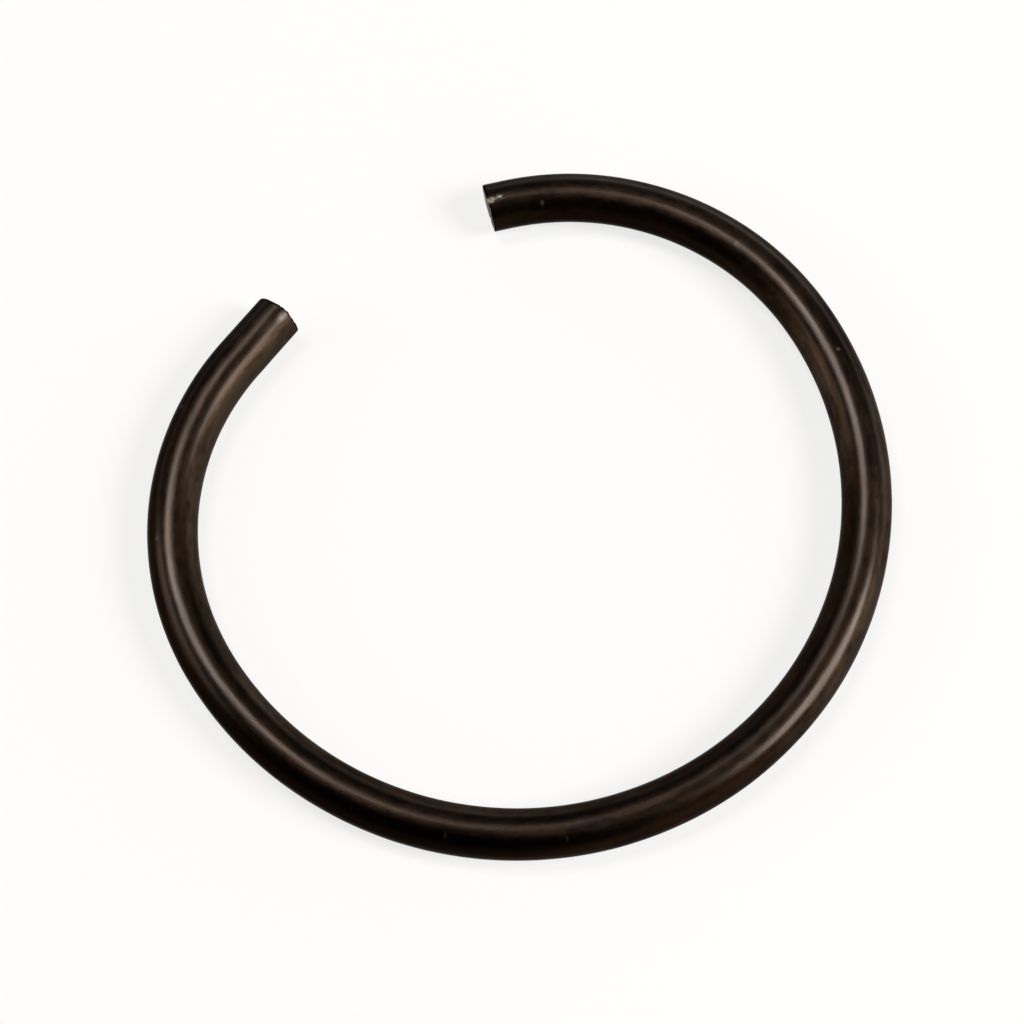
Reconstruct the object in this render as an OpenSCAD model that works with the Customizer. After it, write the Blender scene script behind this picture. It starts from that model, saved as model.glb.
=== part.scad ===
// Round-wire snap ring: an open retaining ring that springs into a groove inside a bore.
// It is one length of round spring wire, coiled on a mandrel and cropped square at both ends.
// The ring lies flat and free of its groove. Its middle plane is z = 0 and its axis is +Z.
// The origin is the centre of the back arc, and the gap between the two ends faces +Y.
// All lengths are in millimetres, and all angles in degrees.

/* [Wire] */

// Diameter of the spring wire
wire_d = 2.0; // [1:0.1:3]

// Width of the worn bevel around each cropped end face
edge_break = 0.12; // [0.04:0.02:0.3]

/* [Ring] */

// Outer diameter of the back arc, a half circle, with the ring free
ring_d = 30; // [26:0.5:40]

// Centre line radius of the tighter arc that leads from the back arc to each end
end_radius = 11.25; // [9:0.25:12]

// Angle that each of these end arcs turns through
end_turn = 71; // [60:0.5:78]

/* [Tips] */

// Length of the straight tip on the +X side of the gap
short_tip = 0.75; // [0.5:0.05:3]

// Length of the straight tip on the -X side of the gap
long_tip = 2.6; // [0.5:0.05:3]

/* [Hidden] */

// Facets around the wire's section, and around a full turn of each arc
section_facets = 36;
turn_facets = 144;

wire_r = wire_d / 2;
back_radius = ring_d / 2 - wire_r;

// Each end arc takes over from the back arc at y = 0, with a shared tangent along +Y
end_centre_x = back_radius - end_radius;

// Each tip is rooted just inside its end arc, and is thinner there by a hair,
// so that the two overlap without surfaces that lie on each other
tip_root = wire_d / 20;
tip_ease = wire_d / 400;
tip_r = wire_r - tip_ease;

black_oxide = [0.17, 0.13, 0.10];

// A stretch of round wire bent around the Z axis, from the angle "start" on
module wire_arc(radius, start, turn) {
    rotate_extrude(angle = turn, start = start, $fn = turn_facets)
        translate([radius, 0])
            circle(r = wire_r, $fn = section_facets);
}

// A straight stretch of wire along +Z that ends in the cropped face and its worn bevel
module cropped_tip(length) {
    bevel_r = tip_r - edge_break;
    bevel_z = length - edge_break;
    rotate_extrude($fn = section_facets)
        polygon([
            [0, -tip_root],
            [tip_r, -tip_root],
            [tip_r, bevel_z],
            [bevel_r, length],
            [0, length],
        ]);
}

// The end arc and the straight tip on the +X side of the gap
module wire_end(tip_length) {
    translate([end_centre_x, 0, 0]) {
        wire_arc(end_radius, 0, end_turn);
        rotate([0, 0, end_turn])
            translate([end_radius, 0, 0])
                rotate([-90, 0, 0])
                    cropped_tip(tip_length);
    }
}

module snap_ring() {
    color(black_oxide)
        union() {
            wire_arc(back_radius, 180, 180);
            wire_end(short_tip);
            mirror([1, 0, 0])
                wire_end(long_tip);
        }
}

snap_ring();
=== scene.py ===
import math

import bpy
import numpy as np
from mathutils import Matrix


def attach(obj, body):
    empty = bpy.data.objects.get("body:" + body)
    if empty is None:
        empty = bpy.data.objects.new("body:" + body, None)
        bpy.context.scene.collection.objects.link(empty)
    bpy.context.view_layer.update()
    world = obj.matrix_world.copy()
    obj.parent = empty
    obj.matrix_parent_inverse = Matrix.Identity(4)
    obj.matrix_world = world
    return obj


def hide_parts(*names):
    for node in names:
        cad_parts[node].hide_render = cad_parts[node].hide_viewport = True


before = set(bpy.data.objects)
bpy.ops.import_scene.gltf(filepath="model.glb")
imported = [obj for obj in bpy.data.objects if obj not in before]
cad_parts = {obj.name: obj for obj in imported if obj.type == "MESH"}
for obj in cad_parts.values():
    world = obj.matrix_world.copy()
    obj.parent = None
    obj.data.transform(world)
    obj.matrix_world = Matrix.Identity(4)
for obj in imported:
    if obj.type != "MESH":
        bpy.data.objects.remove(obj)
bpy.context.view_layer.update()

# Lengths are worked out in millimetres and put into the meshes in metres.
MM = 0.001
MICRON = 1e-6

# ---- the wire's path, as the solid has it ----

WIRE_R = 1.0
BACK_RADIUS = 14.0
END_RADIUS = 11.25
END_TURN = math.radians(71)
SHORT_TIP = 0.75
LONG_TIP = 2.6
END_CENTRE = BACK_RADIUS - END_RADIUS

# A station is a length along the centre line, from the short tip's face to the long
# tip's. At a knot, one stretch of the line ends and the next begins.
END_ARC = END_RADIUS * END_TURN
STRETCHES = [SHORT_TIP, END_ARC, BACK_RADIUS * math.pi, END_ARC, LONG_TIP]
KNOTS = np.concatenate([[0.0], np.cumsum(STRETCHES)])
WIRE_LENGTH = KNOTS[-1]

# ---- the surface of the wire ----

SEED = 41

AROUND = 112  # points round the section
ALONG = 640  # rows between the two rounded edges
FACE_RINGS = 14  # rows on each cut face
EDGE_RINGS = 8  # rows over each rounded edge
CAP_ROWS = FACE_RINGS + EDGE_RINGS - 1
MEASURE_STEPS = 12000  # steps in which the spacing of the rows is summed
END_REACH = 0.6  # length over which the rows take on the uneven end beside them

HAIR = 0.002  # the drawn surface lies this much inside the nominal one
EDGE_ROUND = 0.055  # size of the rounded edge of a cut face
EDGE_LEAST = 0.01  # least depth of that edge
ROLL_OVER = 0.045  # depth of the rolled side of a cut face, where the blade came in
BURR = 0.02  # height of the low burr on the other side
BURR_SPREAD = 0.30  # half width of a taller burr, as an angle
BREAK_DEPTH = 0.020  # how much deeper the broken part of a cut face lies
GRAIN_WAVES, GRAIN_PITCH, GRAIN_HEIGHT = 26, 14, 0.0030  # grain of the break
BLADE_LINES = 0.0012  # height of the lines that the blade drew

RIM_WEAR = 0.25  # how worn the rounded edges are

# The wire's side: its waves, in number, length and height, and its drawing lines, in
# number and depth, with how far each wanders, as an angle.
WAVES, LONGEST_WAVE, SHORTEST_WAVE, WAVE_HEIGHT = 40, 9.0, 0.9, 0.0045
DIE_LINES, DIE_LINE_DEPTH, DIE_LINE_DRIFT = 60, 0.0022, 0.06

# Small nicks where the oxide is chipped: station, angle round the section from the outer
# side in degrees, half length, half width, depth, and how bare the steel is there. The bare
# steel of the one next to last is partly a painted glint by the long tip's face. The last
# one is a rubbed flat.
NICKS = [
    (2.18, 124, 0.12, 0.21, 0.005, 0.50),
    (10.7, 103, 0.15, 0.10, 0.006, 0.40),
    (16.95, 81, 0.10, 0.10, 0.008, 0.85),
    (42.8, 61, 0.09, 0.26, 0.006, 0.40),
    (47.3, 60, 0.10, 0.18, 0.008, 0.52),
    (49.6, 53, 0.14, 0.12, 0.006, 0.32),
    (50.9, 54, 0.11, 0.12, 0.006, 0.36),
    (51.3, 54, 0.11, 0.11, 0.006, 0.28),
    (64.2, 57, 0.15, 0.12, 0.006, 0.36),
    (68.0, 63, 0.15, 0.11, 0.006, 0.32),
    (69.6, 44, 0.11, 0.15, 0.006, 0.40),
    (74.85, 116, 0.46, 0.28, 0.003, 0.40),
    (74.70, 116, 1.80, 0.34, 0.020, 0.00),
]
STRAY_NICKS = 22

# Painted reflection: stretches painted a lighter brown along highlights and flanks, given as
# station, angle in degrees, half length, half width, and how strongly it is lightened.
PAINTED_REFLECTION_PATCHES = [
    (69.0, 156, 9.0, 0.55, 1.00),
    (57.0, 148, 6.5, 0.45, 0.60),
    (24.0, 28, 9.5, 0.50, 0.95),
    (9.0, 47, 7.5, 0.42, 0.55),
    (18.5, 148, 5.0, 0.50, 0.60),
    (46.5, 132, 9.0, 0.32, 0.45),
    (74.2, 86, 2.2, 0.30, 1.00),
    (8.5, 93, 6.0, 0.40, 0.85),
    (28.5, 58, 4.0, 0.30, 0.40),
]
STRAY_PATCHES = 7

# Painted shade: stretches darkened nearly to black on the flanks, in the same form.
PAINTED_SHADE_PATCHES = [
    (54.0, 28, 8.0, 0.35, 1.00),
    (49.5, 50, 8.0, 0.60, 1.00),
    (68.0, 40, 9.0, 0.22, 0.55),
    (6.0, 166, 6.0, 0.35, 0.75),
]

# Each cut face. Slant is how far the blade ran off square, outward and upward, over the
# wire's radius, and behind is how far the face lies behind the end plane. The burrs stand
# proud of the rim, each with its angle and height. The mound is where the wire parted
# last, with its angle on the rim, half width and height.
SHORT_CUT = {
    "slant": (-0.040, -0.075),
    "behind": -0.02,
    "burrs": ((176, 0.050), (50, 0.020)),
    "mound": (0, 1.0, 0.0),
}
LONG_CUT = {
    "slant": (0.0, 0.0),
    "behind": 0.09,
    "burrs": (),
    "mound": (109, 0.37, 0.09),
}

# The chip on the short tip's rim, whose bare steel is partly a painted glint: its length,
# its angles at the rim and at its far end, its half width and its depth.
CHIP_LENGTH, CHIP_START, CHIP_END, CHIP_HALF_WIDTH, CHIP_DEPTH = 0.84, 96, 88, 0.13, 0.022


def smooth_step(low, high, value):
    """0 below low and 1 above high, with the cubic 3t^2 - 2t^3 between."""
    t = np.clip((value - low) / (high - low), 0, 1)
    return t * t * (3 - 2 * t)


def wrapped(angle):
    """The angle, brought to the half-open turn from -pi to pi."""
    return (angle + math.pi) % (2 * math.pi) - math.pi


def centre_line(station):
    """Points of the centre line and its outward normals, in the ring's plane.

    A straight tip, an arc of END_RADIUS, a half circle of BACK_RADIUS, the same arc and
    the other tip follow each other with shared tangents. Along an arc, the angle is the
    length gone divided by the radius. Beyond either end the line goes straight on.
    """
    first = END_TURN - (station - KNOTS[1]) / END_RADIUS
    back = -(station - KNOTS[2]) / BACK_RADIUS
    last = math.pi - (station - KNOTS[3]) / END_RADIUS
    stretch = np.digitize(station, KNOTS[1:5])
    angle = np.choose(stretch, [END_TURN, first, back, last, math.pi - END_TURN])
    radius = np.choose(stretch, [END_RADIUS, END_RADIUS, BACK_RADIUS, END_RADIUS, END_RADIUS])
    middle = np.choose(stretch, [END_CENTRE, END_CENTRE, 0.0, -END_CENTRE, -END_CENTRE])
    straight = np.choose(stretch, [KNOTS[1] - station, 0.0, 0.0, 0.0, station - KNOTS[4]])
    side = np.where(station < KNOTS[2], 1.0, -1.0)
    normal = np.stack([np.cos(angle), np.sin(angle)], -1)
    # The tips run along the arc's tangent, towards the gap.
    tangent = np.stack([-np.sin(angle), np.cos(angle)], -1) * side[..., None]
    point = normal * radius[..., None] + tangent * straight[..., None]
    point[..., 0] += middle
    return point, normal


def waviness(station, angle, rng):
    """Sum of cosine waves of the station and of whole turns round the section.

    Each has its own phase, a wavelength between the shortest and the longest, and a height
    that grows with its wavelength. The sum is divided by the square root of their number.
    """
    total = np.zeros(np.broadcast(station, angle).shape)
    for _ in range(WAVES):
        length = math.exp(rng.uniform(math.log(SHORTEST_WAVE), math.log(LONGEST_WAVE)))
        turns = int(rng.integers(-4, 5))
        phase = rng.uniform(0, 2 * math.pi)
        wave = np.cos(2 * math.pi * station / length + turns * angle + phase)
        total += (length / LONGEST_WAVE) * wave
    return total * WAVE_HEIGHT / math.sqrt(WAVES)


def die_lines(station, angle, rng):
    """Shallow drawing lines along the wire.

    Each is a bell curve of the angle about its own place, which wanders slowly with the
    station, and it fades in and out along the wire.
    """
    total = np.zeros(np.broadcast(station, angle).shape)
    for _ in range(DIE_LINES):
        middle = rng.uniform(0, 2 * math.pi)
        drift = np.sin(station / rng.uniform(5, 14) + rng.uniform(0, 6))
        place = middle + DIE_LINE_DRIFT * drift
        width = rng.uniform(0.05, 0.13)
        swell = np.sin(station / rng.uniform(2.5, 9) + rng.uniform(0, 6))
        line = np.exp(-((wrapped(angle - place) / width) ** 2))
        total += rng.uniform(-1, 0.5) * smooth_step(-0.3, 0.5, swell) * line
    return total * DIE_LINE_DEPTH


def nick_places(rng):
    """The nicks of the list, and STRAY_NICKS smaller ones around the wire's underside."""
    stray = [
        (rng.uniform(2, WIRE_LENGTH - 2), rng.uniform(170, 390), rng.uniform(0.05, 0.10),
         rng.uniform(0.05, 0.10), rng.uniform(0.005, 0.010), rng.uniform(0.2, 0.5))
        for _ in range(STRAY_NICKS)
    ]
    return NICKS + stray


def distance_squared(station, angle, along, turn, length, width):
    """Square of the distance from a place on the wire's side, over its half length and width."""
    away = ((station - along) / length) ** 2
    return away + (wrapped(angle - math.radians(turn)) * WIRE_R / width) ** 2


def nicks(station, angle, places):
    """Depth of the nicks and how bare they are: a bell curve at each place."""
    depth = np.zeros(np.broadcast(station, angle).shape)
    bare = depth.copy()
    for *place, deep, share in places:
        bell = np.exp(-distance_squared(station, angle, *place))
        depth += deep * bell
        bare = np.maximum(bare, share * bell)
    return depth, bare


def patches(station, angle, places):
    """The largest, at each point, of bell curves with a flat top, one at each place."""
    total = np.zeros(np.broadcast(station, angle).shape)
    for *place, share in places:
        away = distance_squared(station, angle, *place)
        total = np.maximum(total, share * np.exp(-0.7 * away ** 2))
    return total


def painted_light_and_oxide_patches(station, angle, rng):
    """Painted reflection above zero and painted shade below zero.

    It is the painted reflection patches, with random patches of thinner oxide on the wire's
    lower side, less the painted shade patches.
    """
    stray = [
        (rng.uniform(0, WIRE_LENGTH), rng.uniform(200, 340), rng.uniform(3, 8),
         rng.uniform(0.3, 0.7), rng.uniform(0.4, 1))
        for _ in range(STRAY_PATCHES)
    ]
    return patches(station, angle, PAINTED_REFLECTION_PATCHES + stray) - patches(station, angle, PAINTED_SHADE_PATCHES)


def chipped_rim(station, angle):
    """Depth of the chip on the short tip's rim, and how bare it is.

    The chip is a wedge from the rim, ragged by sines, that narrows and fades along the
    wire. Its bare steel, partly a painted glint, is streaked by a cosine.
    """
    along = np.clip(station / CHIP_LENGTH, 0, 1)
    middle = np.radians(CHIP_START + (CHIP_END - CHIP_START) * along)
    ragged = 1.05 - 0.8 * along + 0.12 * np.sin(17 * along)
    ragged = ragged + 0.10 * np.sin(11 * angle + 25 * along)
    away = np.abs(wrapped(angle - middle)) * WIRE_R / (CHIP_HALF_WIDTH * ragged)
    bare = (1 - smooth_step(0.6, 1.2, away)) * (1 - smooth_step(0.35, 1.0, along))
    bare = np.where(station < CHIP_LENGTH, bare, 0.0)
    streak = 0.80 + 0.20 * np.cos(16 * along - 7 * (angle - middle) - 2.4)
    return CHIP_DEPTH * bare, bare * streak


def row_stations(places):
    """Stations of the rows between the two rounded edges.

    They are even steps of a measure that grows faster near the ends and the nicks, so the
    rows lie closer there.
    """
    first = 2 * EDGE_ROUND + ROLL_OVER
    last = WIRE_LENGTH - 2 * EDGE_ROUND - ROLL_OVER
    fine = np.linspace(first, last, MEASURE_STEPS)
    near, far = np.exp(-(fine - first) / END_REACH), np.exp(-(last - fine) / END_REACH)
    weight = 1 + 4 * near + 3 * far
    for place in places:
        weight += 2.2 * np.exp(-(((fine - place[0]) / 0.22) ** 2))
    measure = np.concatenate([[0], np.cumsum((weight[1:] + weight[:-1]) / 2)])
    return np.interp(np.linspace(0, measure[-1], ALONG), measure, fine)


def face_relief(x, y, rng):
    """How deep a cut face lies at x outward and y upward from its middle.

    The face rolls over where the blade came in, by the square of a smooth step of x. Past
    a wavy line the wire broke away a little deeper, with a grain that is a sum of cosine
    waves of random pitch and direction. The blade drew faint lines along x.
    """
    line = 0.02 + 0.10 * np.sin(2.3 * y + 0.6) + 0.04 * np.sin(7.1 * y + 2.0)
    broken = smooth_step(line - 0.04, line + 0.06, -x / WIRE_R)
    grain = np.zeros_like(x)
    for _ in range(GRAIN_WAVES):
        wave_x, wave_y = rng.normal(0, GRAIN_PITCH, 2)
        grain += np.cos(wave_x * x + wave_y * y + rng.uniform(0, 2 * math.pi))
    rolled = 0.5 * ROLL_OVER * smooth_step(0.35, 1.0, x / WIRE_R) ** 2
    drawn = BLADE_LINES * np.cos(34 * y + 3 * np.sin(2 * y))
    return rolled + broken * (BREAK_DEPTH + GRAIN_HEIGHT * grain) + drawn


def cropped_end(angle, rng, cut):
    """The rows from a cut face's middle out over its rounded edge, as depth and radius.

    Depth is counted back from the end plane. The blade came from the outer side, so the
    edge is wide and rolled over there, and a low burr stands on the inner side. The edge
    is a quarter ellipse from the face to the wire's side, and a burr lifts it by the sine
    of twice the ellipse's angle. The whole end leans by the cut's slant and rises to a
    bell-shaped mound at the rim.
    """
    inward = smooth_step(0.3, 1.0, -np.cos(angle))
    deep = EDGE_ROUND * (1.2 - 0.7 * inward) + ROLL_OVER * smooth_step(0.25, 1.0, np.cos(angle))
    wide = EDGE_ROUND * (1.2 - 0.6 * inward)
    proud = sum(
        tall * np.exp(-((wrapped(angle - math.radians(turn)) / BURR_SPREAD) ** 2))
        for turn, tall in cut["burrs"])
    burr = (0.5 * BURR * inward + proud) * (1 + 0.15 * np.cos(5 * angle + 1.0))

    face_radius = np.linspace(0, 1, FACE_RINGS + 1)[1:, None] * (WIRE_R - HAIR - wide)
    relief = face_relief(face_radius * np.cos(angle), face_radius * np.sin(angle), rng)
    rim = relief[-1]
    t = np.linspace(0, math.pi / 2, EDGE_RINGS + 1)[1:, None]
    lift = burr * np.sin(2 * t)
    edge_depth = rim + np.maximum(deep - rim, EDGE_LEAST) * (1 - np.cos(t)) - lift
    edge_radius = WIRE_R - HAIR - wide * (1 - np.sin(t)) + 0.5 * lift
    radius = np.vstack([face_radius, edge_radius])

    outward, upward = cut["slant"]
    lean = cut["behind"] + radius * (outward * np.cos(angle) + upward * np.sin(angle))
    turn, width, height = cut["mound"]
    away = radius ** 2 + WIRE_R ** 2 - 2 * radius * WIRE_R * np.cos(angle - math.radians(turn))
    mound = height * np.exp(-away / width ** 2)
    return np.vstack([relief, edge_depth]) + lean - mound, radius


def wire_surface():
    """The whole wire as one closed grid: station, radius and angle, and three masks.

    The masks are for wear with painted glints, for painted reflection and shade with random
    thinner oxide, and for the painted shade along the rims. Rows run from the middle of the
    short tip's face over its edge, along the wire and over the other edge to the middle of
    the other face. Next to an edge, a row takes on part of the edge's own uneven end. On the
    wire's side, the radius is the nominal one with waviness and die lines, less the nicks
    and the chip.
    """
    rng = np.random.default_rng(SEED)
    places = nick_places(rng)
    angle = np.linspace(0, 2 * math.pi, AROUND, endpoint=False)[None, :]
    start_depth, start_radius = cropped_end(angle, rng, SHORT_CUT)
    end_depth, end_radius = cropped_end(angle, rng, LONG_CUT)
    rows = row_stations(places)[:, None]
    near = np.clip(1 - (rows - rows[0]) / END_REACH, 0, 1) ** 2
    far = np.clip(1 - (rows[-1] - rows) / END_REACH, 0, 1) ** 2
    body = rows + near * (start_depth[-1] - rows[0])
    body = body + far * (WIRE_LENGTH - end_depth[-1] - rows[-1])
    station = np.vstack([start_depth[:-1], body, WIRE_LENGTH - end_depth[:-1][::-1]])
    side = np.full(body.shape, WIRE_R - HAIR)
    radius = np.vstack([start_radius[:-1], side, end_radius[:-1][::-1]])

    ring = np.arange(len(station))[:, None]
    ring = np.minimum(ring, ring[::-1])
    on_side = smooth_step(FACE_RINGS, CAP_ROWS, ring)
    off_face = smooth_step(FACE_RINGS - 2, FACE_RINGS + 2, ring)
    relief = waviness(station, angle, rng) + die_lines(station, angle, rng)
    dents, bare = nicks(station, angle, places)
    chip, chip_bare_and_painted_glint = chipped_rim(station, angle)
    radius = radius + on_side * (relief - dents) - off_face * chip

    rim = np.exp(-(((ring - FACE_RINGS - 0.5 * EDGE_RINGS) / (0.35 * EDGE_RINGS)) ** 2))
    chip_bare_and_painted_glint = chip_bare_and_painted_glint * smooth_step(FACE_RINGS - 9, FACE_RINGS - 3, ring)
    # Wear of the nicks, chip and rims, with the painted glints of the chip and of one nick by the
    # long tip.
    worn = np.maximum(np.maximum(bare * on_side, chip_bare_and_painted_glint), RIM_WEAR * rim)
    from_edge = np.minimum(station - start_depth[-1], WIRE_LENGTH - end_depth[-1] - station)
    # Painted shade along each cut face's rim, fading out within 0.06 mm of it.
    rim_painted_shade = 1 - smooth_step(-0.01, 0.06, from_edge)
    return station, radius, angle, worn, painted_light_and_oxide_patches(station, angle, rng), rim_painted_shade


def grid_faces(rows):
    """Faces between the grid's rows, and fans from each end row to its middle point.

    The rows' points are numbered row by row, and the two middle points come last. The
    corners of each face run anticlockwise as seen from outside the wire.
    """
    here = np.arange(AROUND)
    after = (here + 1) % AROUND
    base = (np.arange(rows - 1) * AROUND)[:, None]
    quads = [base + here, base + after, base + AROUND + after, base + AROUND + here]
    last = (rows - 1) * AROUND
    first_fan = np.stack([after, here, np.full(AROUND, rows * AROUND)], -1)
    last_fan = np.stack([last + here, last + after, np.full(AROUND, rows * AROUND + 1)], -1)
    return np.stack(quads, -1).reshape(-1, 4).tolist() + first_fan.tolist() + last_fan.tolist()


# ---- the flat map, for textures ----

STRIPS = 3
STRIP_HEIGHT = 0.29
MAP_MARGIN = 0.008
MAP_SPARE = 0.01  # length left free at the end of the longest strip
DISC_PLACES = np.array([[0.07, 0.935], [0.20, 0.935]])
DISC_SCALE = 0.045


def flat_map(station, radius):
    """The surface laid out flat for its textures: three strips for the side, and two discs.

    In a strip, the first coordinate is the station and the second falls with the angle,
    cut open at the bottom of the wire. In a disc, the distance from the middle is the
    length along the cut face's profile. Nothing is mirrored.
    """
    row = np.arange(len(station) - 1)
    mean = station.mean(1)
    first, last = CAP_ROWS, len(station) - 1 - CAP_ROWS
    strip = STRIPS * (mean[:-1] - mean[first]) / (mean[last] - mean[first])
    strip = np.clip(strip.astype(int), 0, STRIPS - 1)
    on_side = (row >= first) & (row < last)
    starts = np.array([mean[:-1][on_side & (strip == n)].min() for n in range(STRIPS)])
    scale = (1 - 2 * MAP_MARGIN) / (np.diff(np.append(starts, mean[last])).max() + MAP_SPARE)
    turn = (np.arange(AROUND) - 3 * AROUND // 4) % AROUND

    def on_strip(row_step, turn_step):
        """Each face's corner at these steps from its first one, in the face's strip."""
        u = MAP_MARGIN + (mean[row + row_step] - starts[strip]) * scale
        down = (1 - 2 * MAP_MARGIN) * (turn + turn_step) / AROUND
        v = (strip[:, None] + 1 - MAP_MARGIN - down) * STRIP_HEIGHT
        return np.stack([np.broadcast_to(u[:, None], v.shape), v], -1)

    steps = np.hypot(np.diff(radius.mean(1), prepend=0), np.diff(mean, prepend=mean[0]))
    from_start = np.cumsum(steps)
    steps = np.hypot(np.diff(radius.mean(1), append=0), np.diff(mean, append=mean[-1]))
    from_end = np.cumsum(steps[::-1])[::-1]
    near = (row < first)[:, None]
    middle = np.where(near[..., None], DISC_PLACES[0], DISC_PLACES[1])

    def on_disc(row_step, turn_step):
        """The same corner in the disc of the nearer cut face."""
        angle = 2 * math.pi * (np.arange(AROUND) + turn_step) / AROUND
        reach = np.where(row < first, from_start[row + row_step], from_end[row + row_step])
        across = np.cos(angle) * np.where(near, -1, 1)
        spoke = np.stack([across, np.broadcast_to(np.sin(angle), across.shape)], -1)
        return middle + DISC_SCALE * reach[:, None, None] * spoke

    corners = [
        np.where(on_side[:, None, None], on_strip(*step), on_disc(*step))
        for step in ((0, 0), (0, 1), (1, 1), (1, 0))]
    tips = [np.tile(place, (AROUND, 1)) for place in DISC_PLACES]
    first_fan = np.stack([on_disc(0, 1)[0], on_disc(0, 0)[0], tips[0]], 1)
    last_fan = np.stack([on_disc(1, 0)[-1], on_disc(1, 1)[-1], tips[1]], 1)
    return np.concatenate(
        [part.reshape(-1, 2) for part in (np.stack(corners, 2), first_fan, last_fan)])


def stand(name, data):
    """A new object in the scene for a mesh, a lamp or a camera."""
    thing = bpy.data.objects.new(name, data)
    bpy.context.scene.collection.objects.link(thing)
    return thing


def hold(mesh, name, kind, field, values):
    """Keeps a value at each point of the mesh, for its materials to read."""
    held = mesh.attributes.new(name, kind, "POINT")
    held.data.foreach_set(field, values.astype(np.float32).ravel())


def make_wire(materials):
    """Carries the grid along the centre line and puts it into a mesh.

    A point is the centre line at its station, plus its radius times the cosine of its
    angle outward and the sine of its angle up. Each end row's middle point is its mean.
    """
    station, radius, angle, worn, painted_light_and_thin_oxide, rim_painted_shade = wire_surface()
    rows = len(station)
    point, normal = centre_line(station)
    lateral = radius * np.cos(angle)
    upward = radius * np.sin(angle)
    grid = np.concatenate([point + normal * lateral[..., None], upward[..., None]], -1)
    drawn = np.stack([lateral, upward, station], -1)
    points = np.vstack([grid.reshape(-1, 3), grid[[0, -1]].mean(1)]) * MM
    drawn = np.vstack([drawn.reshape(-1, 3), drawn[[0, -1]].mean(1)])

    mesh = bpy.data.meshes.new("snap_ring_wire")
    mesh.from_pydata(points.tolist(), [], grid_faces(rows))
    mesh.polygons.foreach_set("use_smooth", np.ones(len(mesh.polygons), bool))
    for material in materials:
        mesh.materials.append(material)
    row_of = np.repeat(np.arange(rows - 1), AROUND)
    on_face = np.minimum(row_of, rows - 2 - row_of) < FACE_RINGS
    slots = np.append(on_face, np.ones(2 * AROUND, bool)).astype(np.int32)
    mesh.polygons.foreach_set("material_index", slots)
    hold(mesh, "drawn", "FLOAT_VECTOR", "vector", drawn)
    for name, mask in (("worn", worn), ("painted_light_and_thin_oxide", painted_light_and_thin_oxide), ("rim_painted_shade", rim_painted_shade)):
        hold(mesh, name, "FLOAT", "value", np.append(mask.ravel(), [0, 0]))
    layout = mesh.uv_layers.new(name="OFBake")
    layout.data.foreach_set("uv", flat_map(station, radius).astype(np.float32).ravel())
    mesh.update()
    return stand("snap_ring_wire", mesh)


# ---- materials ----

# The Mix node's sockets for colours.
MIX_A, MIX_B, MIX_RESULT = 6, 7, 2


class Nodes:
    """A short way to place nodes and join them in one tree."""

    def __init__(self, tree):
        self.tree = tree

    def add(self, kind, settings=None, **inputs):
        """A new node. A space in a socket's name is written as an underscore."""
        node = self.tree.nodes.new(kind)
        for name, value in (settings or {}).items():
            setattr(node, name, value)
        for name, value in inputs.items():
            self.put(node.inputs[name.replace("_", " ")], value)
        return node

    def put(self, socket, value):
        """Links another node's output to a socket, or sets the socket's own value."""
        if isinstance(value, bpy.types.NodeSocket):
            self.tree.links.new(value, socket)
        else:
            socket.default_value = value

    def math(self, operation, *values):
        """One step of arithmetic."""
        node = self.add("ShaderNodeMath", {"operation": operation})
        for socket, value in zip(node.inputs, values):
            self.put(socket, value)
        return node.outputs[0]

    def range(self, value, low, high, to_low=0.0, to_high=1.0):
        """A smooth step from to_low, at low, to to_high, at high."""
        node = self.add("ShaderNodeMapRange", {"interpolation_type": "SMOOTHSTEP"})
        for socket, number in zip(node.inputs, (value, low, high, to_low, to_high)):
            self.put(socket, number)
        return node.outputs[0]

    def mix(self, factor, a, b):
        """The colour a where the factor is 0, and b where it is 1."""
        node = self.add("ShaderNodeMix", {"data_type": "RGBA"})
        self.put(node.inputs[0], factor)
        self.put(node.inputs[MIX_A], a)
        self.put(node.inputs[MIX_B], b)
        return node.outputs[MIX_RESULT]

    def noise(self, vector, scale, detail=2.0, roughness=0.5, distortion=0.0):
        """Noise about 0.5."""
        node = self.add("ShaderNodeTexNoise", Vector=vector, Scale=scale, Detail=detail,
                        Roughness=roughness, Distortion=distortion)
        return node.outputs[0]

    def stretch(self, vector, factors):
        """Each coordinate times its own factor."""
        node = self.add("ShaderNodeVectorMath", {"operation": "MULTIPLY"})
        self.put(node.inputs[0], vector)
        self.put(node.inputs[1], factors)
        return node.outputs[0]

    def parts(self, vector):
        """The three coordinates of a vector."""
        return self.add("ShaderNodeSeparateXYZ", Vector=vector).outputs

    def held(self, name, output="Fac"):
        """What the mesh holds at its points under this name."""
        return self.add("ShaderNodeAttribute", {"attribute_name": name}).outputs[output]

    def effect(self, group, **inputs):
        """The outputs of a shared effect that is placed in this tree."""
        return self.add("ShaderNodeGroup", {"node_tree": group}, **inputs).outputs


def empty_nodes(owner):
    """The node tree of a material or a world, with nothing in it."""
    owner.use_nodes = True
    owner.node_tree.nodes.clear()
    return Nodes(owner.node_tree)


def new_group(name, inputs, outputs):
    """A node group with its named inputs, as (name, default), and its named outputs."""
    tree = bpy.data.node_groups.new(name, "ShaderNodeTree")
    for title, default in inputs:
        kind = "NodeSocketVector" if default is None else "NodeSocketFloat"
        socket = tree.interface.new_socket(title, in_out="INPUT", socket_type=kind)
        if default is not None:
            socket.default_value = default
    for title in outputs:
        tree.interface.new_socket(title, in_out="OUTPUT", socket_type="NodeSocketFloat")
    nodes = Nodes(tree)
    given = nodes.add("NodeGroupInput")
    result = nodes.add("NodeGroupOutput")
    return nodes, given.outputs, result.inputs


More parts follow.
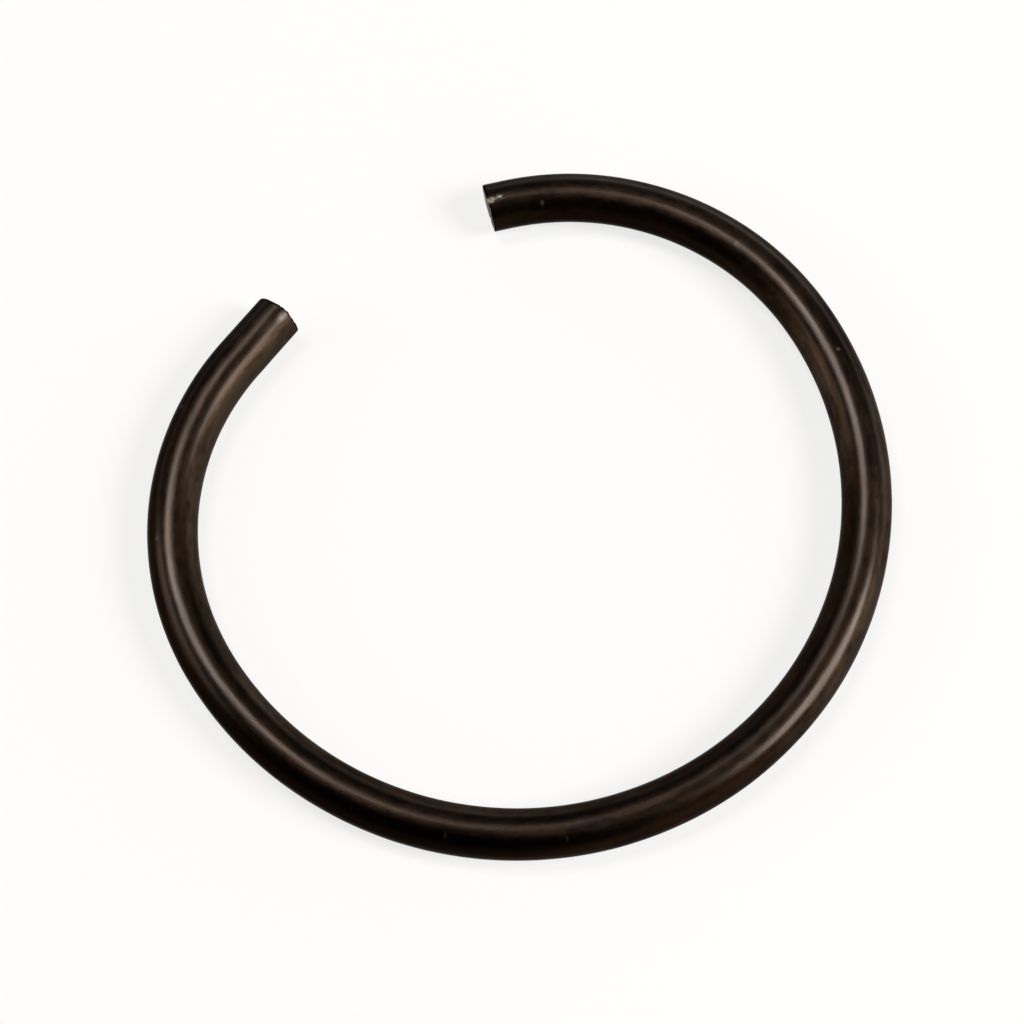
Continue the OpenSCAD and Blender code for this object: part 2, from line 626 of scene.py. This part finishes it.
def drawn_streaks_group():
    """Fine lines along a surface: noise that is stretched along the third coordinate."""
    nodes, given, result = new_group(
        "drawn_streaks", [("Place", None), ("Across", 7.0), ("Along", 0.30)], ["Fine", "Broad"])
    factors = nodes.add(
        "ShaderNodeCombineXYZ", X=given["Across"], Y=given["Across"], Z=given["Along"])
    place = nodes.stretch(given["Place"], factors.outputs[0])
    fine = nodes.noise(place, 1.0, 3.0, 0.6)
    broad = nodes.noise(nodes.stretch(place, (0.28, 0.28, 0.6)), 1.0, 2.0, 0.5)
    nodes.put(result["Fine"], nodes.range(fine, 0.3, 0.7))
    nodes.put(result["Broad"], nodes.range(broad, 0.32, 0.68))
    return nodes.tree


def oxide_mottle_group():
    """Blotches of thicker and thinner oxide at two sizes, and a fine tooth."""
    nodes, given, result = new_group(
        "oxide_mottle", [("Place", None), ("Scale", 1.0)], ["Blotch", "Fleck", "Tooth"])
    place = nodes.stretch(given["Place"], (1.0, 1.0, 0.45))
    blotch = nodes.noise(place, nodes.math("MULTIPLY", given["Scale"], 0.9), 3.0, 0.55, 0.4)
    fleck = nodes.noise(place, nodes.math("MULTIPLY", given["Scale"], 3.6), 3.0, 0.6, 0.3)
    tooth = nodes.noise(given["Place"], nodes.math("MULTIPLY", given["Scale"], 12.0), 2.0, 0.6)
    nodes.put(result["Blotch"], nodes.range(blotch, 0.35, 0.65))
    nodes.put(result["Fleck"], nodes.range(fleck, 0.35, 0.65))
    nodes.put(result["Tooth"], tooth)
    return nodes.tree


def edge_wear_group():
    """Where the oxide is chipped or rubbed through: the worn mask, broken up by noise."""
    nodes, given, result = new_group(
        "edge_wear", [("Place", None), ("Worn", 0.0), ("Break", 0.25)], ["Bare"])
    speckle = nodes.noise(given["Place"], 7.0, 3.0, 0.65)
    level = nodes.math("SUBTRACT", given["Worn"], nodes.math("MULTIPLY", speckle, given["Break"]))
    nodes.put(result["Bare"], nodes.range(level, 0.05, 0.85))
    return nodes.tree


STREAKS = drawn_streaks_group()
MOTTLE = oxide_mottle_group()
WEAR = edge_wear_group()

OXIDE_BROWN = (0.0175, 0.0078, 0.0026, 1)
# Black, both for darker oxide in the mottle and for the painted shade patches.
OXIDE_BLACK_AND_PAINTED_SHADE = (0.0042, 0.0016, 0.0004, 1)
# Lighter brown for the painted reflection patches and for random thinner oxide.
THIN_OXIDE_AND_PAINTED_REFLECTION_BROWN = (0.0470, 0.0310, 0.0200, 1)
# Lighter brown of the top and bottom lines, partly rubbed wear and partly a painted highlight.
RUBBED_AND_PAINTED_HIGHLIGHT = (0.0380, 0.0220, 0.0125, 1)
# Bare steel of wear, also used for the painted glints.
BARE_STEEL_AND_PAINTED_GLINT = (0.24, 0.22, 0.195, 1)
# Colour of the painted shade along the cut faces' rims.
RIM_PAINTED_SHADE = (0.005, 0.0022, 0.0008, 1)
CUT_STEEL = (0.085, 0.072, 0.060, 1)
CUT_DARK = (0.030, 0.024, 0.018, 1)

OXIDE_EDGE_TINT = (0.5, 0.5, 0.5, 1)
CUT_EDGE_TINT = (0.85, 0.80, 0.76, 1)
SATIN = 0.36
OIL_ROUGHNESS = 0.26
FLANK_OIL = 0.04
LINE_OIL = 0.47  # what the top and bottom lines have more than the flanks


def new_material(name, colour):
    """A metal with one Principled shader, and what the wire's mesh holds of place, and of wear
    with painted glints.
    """
    material = bpy.data.materials.new(name)
    material.diffuse_color = colour
    nodes = empty_nodes(material)
    shader = nodes.add("ShaderNodeBsdfPrincipled")
    shader.inputs["Metallic"].default_value = 1.0
    output = nodes.add("ShaderNodeOutputMaterial")
    nodes.put(output.inputs["Surface"], shader.outputs[0])
    return material, nodes, shader, nodes.held("drawn", "Vector"), nodes.held("worn")


def bump(nodes, shader, *layers):
    """Relief from layers of (value from 0 to 1, height in thousandths of a millimetre)."""
    height = 0.0
    for value, microns in layers:
        height = nodes.math("MULTIPLY_ADD", value, microns, height)
    node = nodes.add("ShaderNodeBump", Strength=1.0, Distance=MICRON, Height=height)
    nodes.put(shader.inputs["Normal"], node.outputs[0])


def black_oxide_material():
    """Black oxide over drawn spring wire: brown-black metal, streaked and chipped in places.

    The oxide's tone is a weighted sum of blotches, broad streaks and flecks, between black
    and brown. Painted reflection lightens it to a brighter brown in listed patches, and random
    patches of thinner oxide do so too; painted shade darkens it to black in other patches.
    Rubbed wear with a painted highlight lightens the top and bottom lines, and painted shade
    darkens the rim of each cut face. A film of oil lies over it. The film is whole along the
    top and bottom lines of the ring, and only a trace on the flanks, where the wire has
    rubbed dry. Under the painted shade patches the film is cut to less than half, and along
    the painted shade of the rims it is taken away.
    """
    material, nodes, shader, place, worn = new_material("black_oxide_wire", OXIDE_BROWN)
    streaks = nodes.effect(STREAKS, Place=place)
    mottle = nodes.effect(MOTTLE, Place=place)
    bare = nodes.effect(WEAR, Place=place, Worn=worn)["Bare"]
    # Painted reflection above zero and painted shade below zero, with random thinner oxide.
    painted_light_and_thin_oxide = nodes.held("painted_light_and_thin_oxide")
    painted_shade_mask = nodes.range(painted_light_and_thin_oxide, 0.0, -1.0)
    rim_painted_shade = nodes.held("rim_painted_shade")

    tone = nodes.math("MULTIPLY", mottle["Blotch"], 0.4)
    tone = nodes.math("MULTIPLY_ADD", streaks["Broad"], 0.25, tone)
    tone = nodes.math("MULTIPLY_ADD", mottle["Fleck"], 0.35, tone)
    colour = nodes.mix(tone, OXIDE_BLACK_AND_PAINTED_SHADE, OXIDE_BROWN)
    # Painted shade: the painted shade patches darken the colour to black.
    colour = nodes.mix(painted_shade_mask, colour, OXIDE_BLACK_AND_PAINTED_SHADE)
    # Painted reflection, with random thinner oxide: lighter brown where the mask is above zero.
    reflection_and_thinning = nodes.math("MULTIPLY", painted_light_and_thin_oxide, nodes.math("MULTIPLY_ADD", tone, 0.9, 0.4))
    colour = nodes.mix(nodes.range(reflection_and_thinning, 0.0, 1.0), colour, THIN_OXIDE_AND_PAINTED_REFLECTION_BROWN)
    # Rubbed wear and a painted highlight: the top and bottom lines, on which the ring slides, are
    # painted a lighter brown.
    height = nodes.math("ABSOLUTE", nodes.parts(place)["Y"])
    level = nodes.math("MULTIPLY_ADD", streaks["Broad"], 0.04, height)
    rub_and_painted_highlight = nodes.math("MULTIPLY", streaks["Fine"], mottle["Fleck"])
    rub_and_painted_highlight = nodes.math("MULTIPLY_ADD", rub_and_painted_highlight, 0.6, 0.4)
    rub_and_painted_highlight = nodes.math("MULTIPLY", nodes.range(level, 0.93, 1.02), rub_and_painted_highlight)
    colour = nodes.mix(rub_and_painted_highlight, colour, RUBBED_AND_PAINTED_HIGHLIGHT)
    # Painted shade: a dark line along the rim of each cut face.
    colour = nodes.mix(rim_painted_shade, colour, RIM_PAINTED_SHADE)
    nodes.put(shader.inputs["Base Color"], nodes.mix(bare, colour, BARE_STEEL_AND_PAINTED_GLINT))
    shader.inputs["Specular Tint"].default_value = OXIDE_EDGE_TINT

    satin = nodes.math("MULTIPLY_ADD", mottle["Fleck"], 0.08, SATIN)
    satin = nodes.math("MULTIPLY_ADD", streaks["Fine"], -0.05, satin)
    nodes.put(shader.inputs["Roughness"], satin)
    oil = nodes.math("MULTIPLY_ADD", nodes.range(level, 0.76, 1.02), LINE_OIL, FLANK_OIL)
    oil = nodes.math("MULTIPLY", oil, nodes.math("MULTIPLY_ADD", streaks["Fine"], 0.3, 0.8))
    # Under the painted shade the oil film is cut by up to six tenths.
    oil = nodes.math("MULTIPLY", oil, nodes.math("MULTIPLY_ADD", painted_shade_mask, -0.6, 1.0))
    # The painted shade on the rims takes the oil film away there too.
    oil = nodes.math("MULTIPLY", oil, nodes.math("SUBTRACT", 1.0, rim_painted_shade))
    nodes.put(shader.inputs["Coat Weight"], oil)
    shader.inputs["Coat Roughness"].default_value = OIL_ROUGHNESS
    bump(nodes, shader, (mottle["Tooth"], 3.0), (streaks["Fine"], 0.8), (streaks["Broad"], 2.0),
         (mottle["Fleck"], 3.0), (mottle["Blotch"], 5.0), (bare, -5.0))
    return material


def cropped_face_material():
    """The sheared face: dull steel with lines of the blade's travel and a grained break."""
    material, nodes, shader, place, worn = new_material("cropped_face", CUT_STEEL)
    # The blade moved along the section's first axis, so that axis is the streaks' long one.
    section = nodes.parts(place)
    travel = nodes.add("ShaderNodeCombineXYZ", X=section["Y"], Y=section["Z"], Z=section["X"])
    streaks = nodes.effect(STREAKS, Place=travel.outputs[0], Across=14.0, Along=1.2)
    mottle = nodes.effect(MOTTLE, Place=place, Scale=2.2)
    bare = nodes.effect(WEAR, Place=place, Worn=worn, Break=0.5)["Bare"]
    tone = nodes.math("MULTIPLY", mottle["Blotch"], streaks["Broad"])
    colour = nodes.mix(tone, CUT_DARK, CUT_STEEL)
    nodes.put(shader.inputs["Base Color"], nodes.mix(bare, colour, BARE_STEEL_AND_PAINTED_GLINT))
    shader.inputs["Specular Tint"].default_value = CUT_EDGE_TINT
    nodes.put(shader.inputs["Roughness"], nodes.range(mottle["Fleck"], 0.0, 1.0, 0.38, 0.52))
    bump(nodes, shader, (streaks["Fine"], 2.5), (mottle["Fleck"], 5.0), (mottle["Tooth"], 3.0))
    return material


# ---- camera ----

# The photograph's camera, aimed at the origin: how far it is turned about the vertical,
# tilted from it and rolled, and how far away it stands.
VIEW_TURN = math.radians(-35.20)
VIEW_TILT = math.radians(19.379)
VIEW_ROLL = math.radians(2.547)
VIEW_DISTANCE = 111.13
LENS = 98.13
SENSOR = 36.0
SHIFT = (-0.00337, -0.02312)
CLIP = (0.005, 20)  # nearest and farthest, in metres


def turned(first, second, angle):
    """Two directions at right angles, both turned by the angle from the first to the second."""
    cosine, sine = math.cos(angle), math.sin(angle)
    return cosine * first + sine * second, cosine * second - sine * first


def camera_axes():
    """Right, up and backward of the camera.

    Backward leans from the vertical by VIEW_TILT, and all three are turned about the
    vertical by VIEW_TURN. Right and up are rolled about backward by VIEW_ROLL.
    """
    back = np.array([0, -math.sin(VIEW_TILT), math.cos(VIEW_TILT)])
    up = np.array([0, math.cos(VIEW_TILT), math.sin(VIEW_TILT)])
    right, up = turned(np.array([1.0, 0.0, 0.0]), up, VIEW_ROLL)
    cosine, sine = math.cos(VIEW_TURN), math.sin(VIEW_TURN)
    about_vertical = np.array([[cosine, sine, 0], [-sine, cosine, 0], [0, 0, 1]])
    return np.array([right, up, back]) @ about_vertical


AXES = camera_axes()


def place_at(thing, axes, place):
    """Puts an object at a place in millimetres, with its own three axes as given in rows."""
    matrix = np.eye(4)
    matrix[:3, :3] = axes.T
    matrix[:3, 3] = place * MM
    thing.matrix_world = Matrix(matrix.tolist())


def make_camera():
    """The photograph's camera."""
    data = bpy.data.cameras.new("camera")
    data.lens, data.sensor_width = LENS, SENSOR
    data.shift_x, data.shift_y = SHIFT
    data.clip_start, data.clip_end = CLIP
    camera = stand("camera", data)
    place_at(camera, AXES, AXES[2] * VIEW_DISTANCE)
    bpy.context.scene.camera = camera


# ---- light and floor ----

# Each lamp: the direction in which it stands, in the camera's axes; the half angles that
# the ring sees of its long and short way; how far both are turned about that direction,
# in degrees; its power in watts; and its colour.
LAMPS = {
    "key_lamp": ((-0.281, 0.523, 0.805), (12.6, 8.5), -47, 0.94, (1.0, 0.96, 0.91)),
    "right_lamp": ((0.74, 0.09, 0.67), (14.0, 14.0), 0, 2.25, (1.0, 0.96, 0.91)),
    "left_lamp": ((-0.88, 0.10, 0.42), (18.0, 18.0), 0, 0.8, (1.0, 0.92, 0.82)),
}
LAMP_DISTANCE = 500.0
ROOM_COLOUR = (0.96, 0.98, 1.0, 1)
ROOM_STRENGTH = 0.02
FLOOR_HALF = 3000.0
FLOOR_COLOUR = (0.90, 0.90, 0.90, 1)
FLOOR_GLOW = 0.76
WHITE = (1, 1, 1, 1)


def add_lamp(name, toward, half_angles, turn, watts, colour):
    """An oval soft lamp that faces the ring, as one line of LAMPS gives it.

    Each way across is twice the lamp's distance times the tangent of its half angle.
    """
    direction = np.array(toward) @ AXES
    direction /= np.linalg.norm(direction)
    side = np.cross([0, 0, 1], direction)
    side /= np.linalg.norm(side)
    above = np.cross(direction, side)
    data = bpy.data.lights.new(name, "AREA")
    data.shape = "ELLIPSE"
    data.size, data.size_y = 2 * LAMP_DISTANCE * MM * np.tan(np.radians(half_angles))
    data.energy = watts
    data.color = colour
    long_way, short_way = turned(side, above, math.radians(turn))
    axes = np.array([long_way, short_way, direction])
    place_at(stand(name, data), axes, direction * LAMP_DISTANCE)


def make_world():
    """Dim light from all round, and a low band of light along the horizon.

    The band is a smooth step towards the camera's right plus one towards its upper side,
    and fades out with height.
    """
    world = bpy.data.worlds.new("studio")
    bpy.context.scene.world = world
    nodes = empty_nodes(world)
    place = nodes.add("ShaderNodeTexCoord").outputs["Generated"]
    toward = []
    for axis in AXES[:2]:
        node = nodes.add("ShaderNodeVectorMath", {"operation": "DOT_PRODUCT"})
        nodes.put(node.inputs[0], place)
        nodes.put(node.inputs[1], tuple(axis))
        toward.append(node.outputs["Value"])
    band = nodes.range(toward[0], -0.1, 0.9, 0.3, 2.2)
    band = nodes.math("ADD", band, nodes.range(toward[1], 0.0, 0.95, 0.0, 0.9))
    fade = nodes.range(nodes.parts(place)["Z"], 0.02, 0.45, 1.0, 0.0)
    strength = nodes.math("ADD", nodes.math("MULTIPLY", band, fade), ROOM_STRENGTH)
    background = nodes.add("ShaderNodeBackground", Color=ROOM_COLOUR, Strength=strength)
    output = nodes.add("ShaderNodeOutputWorld")
    nodes.put(output.inputs["Surface"], background.outputs[0])


def make_floor():
    """A flat square under the ring, at the height of the wire's lowest line.

    To the camera and in reflections it is part matt and part glowing white, so that it
    shows nearly white and keeps the ring's shadow. It lights the ring as a matt floor.
    """
    corners = np.array([[-1, -1], [1, -1], [1, 1], [-1, 1]]) * FLOOR_HALF
    points = np.concatenate([corners, np.full((4, 1), -WIRE_R)], 1) * MM
    mesh = bpy.data.meshes.new("floor")
    mesh.from_pydata(points.tolist(), [], [(0, 1, 2, 3)])
    material = bpy.data.materials.new("pale_floor")
    nodes = empty_nodes(material)
    matt = nodes.add("ShaderNodeBsdfDiffuse", Color=FLOOR_COLOUR)
    glow = nodes.add("ShaderNodeEmission", Color=WHITE, Strength=1.0)
    path = nodes.add("ShaderNodeLightPath").outputs
    seen = nodes.math("MAXIMUM", path["Is Camera Ray"], path["Is Glossy Ray"])
    seen = nodes.math("MAXIMUM", seen, path["Is Transmission Ray"])
    mixed = nodes.add("ShaderNodeMixShader")
    nodes.put(mixed.inputs[0], nodes.math("MULTIPLY", seen, FLOOR_GLOW))
    nodes.put(mixed.inputs[1], matt.outputs[0])
    nodes.put(mixed.inputs[2], glow.outputs[0])
    output = nodes.add("ShaderNodeOutputMaterial")
    nodes.put(output.inputs["Surface"], mixed.outputs[0])
    mesh.materials.append(material)
    stand("floor", mesh)


wire = make_wire([black_oxide_material(), cropped_face_material()])
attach(wire, "root")
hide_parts("snap_ring")

make_floor()
for name, lamp in LAMPS.items():
    add_lamp(name, *lamp)
make_world()
make_camera()
bpy.context.scene.view_settings.view_transform = "Standard"
